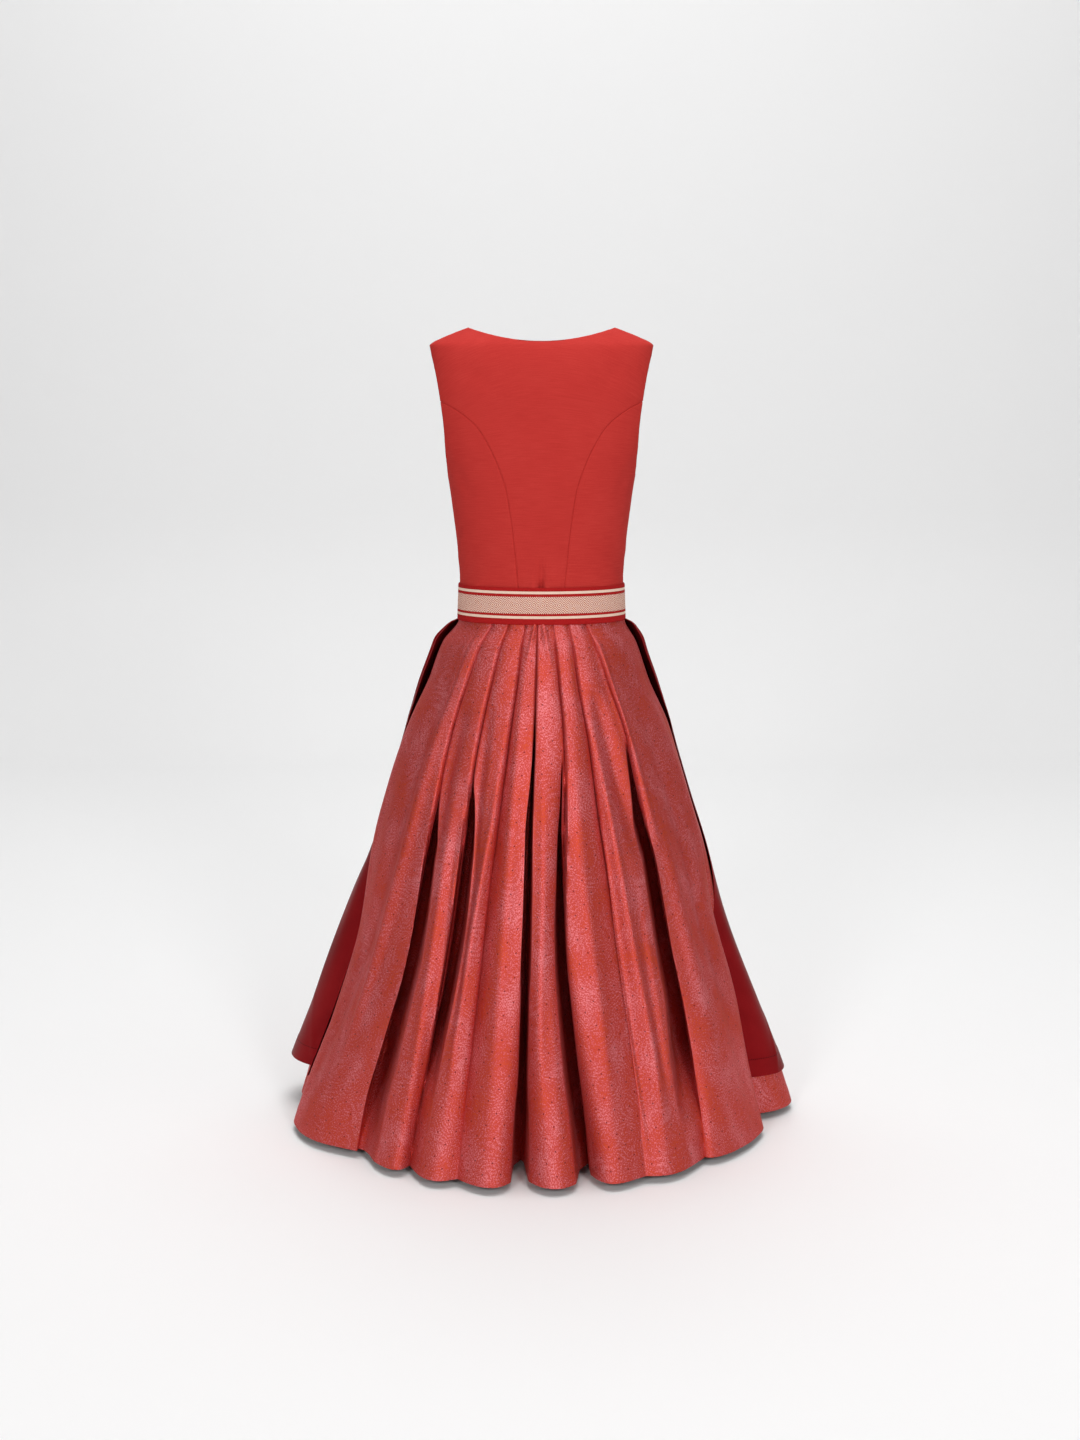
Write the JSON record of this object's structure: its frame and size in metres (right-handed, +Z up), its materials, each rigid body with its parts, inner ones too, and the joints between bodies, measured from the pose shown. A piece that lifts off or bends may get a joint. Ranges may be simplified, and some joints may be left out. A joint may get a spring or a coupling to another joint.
{
  "type": "dirndl",
  "caption": "Sleeveless dirndl dress filled out as worn, with a shaped bodice with curved seams, a full pleated skirt with deep folds, and a satin apron on a woven waistband.",
  "frame": {"origin": "midway between the shoulders, level with the two points where the shoulder seams meet the neck edge", "axes": "+Z up towards the neck, +X to the wearer's left, -Y to the front"},
  "size_m": [0.7862, 0.6765, 1.1909],
  "materials": {
    "bodice_cloth": "matt slubbed plain weave",
    "skirt_jacquard": "changeant jacquard with a soft sheen",
    "apron_satin": "satin",
    "woven_band": "woven ribbon"
  },
  "bodies": {
    "root": {"bodice_back": "bodice_cloth", "bodice_side_back_left": "bodice_cloth", "bodice_side_front_left": "bodice_cloth", "bodice_front_left": "bodice_cloth", "bodice_side_back_right": "bodice_cloth", "bodice_side_front_right": "bodice_cloth", "bodice_front_right": "bodice_cloth", "skirt_back": "skirt_jacquard", "skirt_front": "skirt_jacquard", "apron_panel": "apron_satin", "apron_band": "woven_band"}
  },
  "joints": []
}
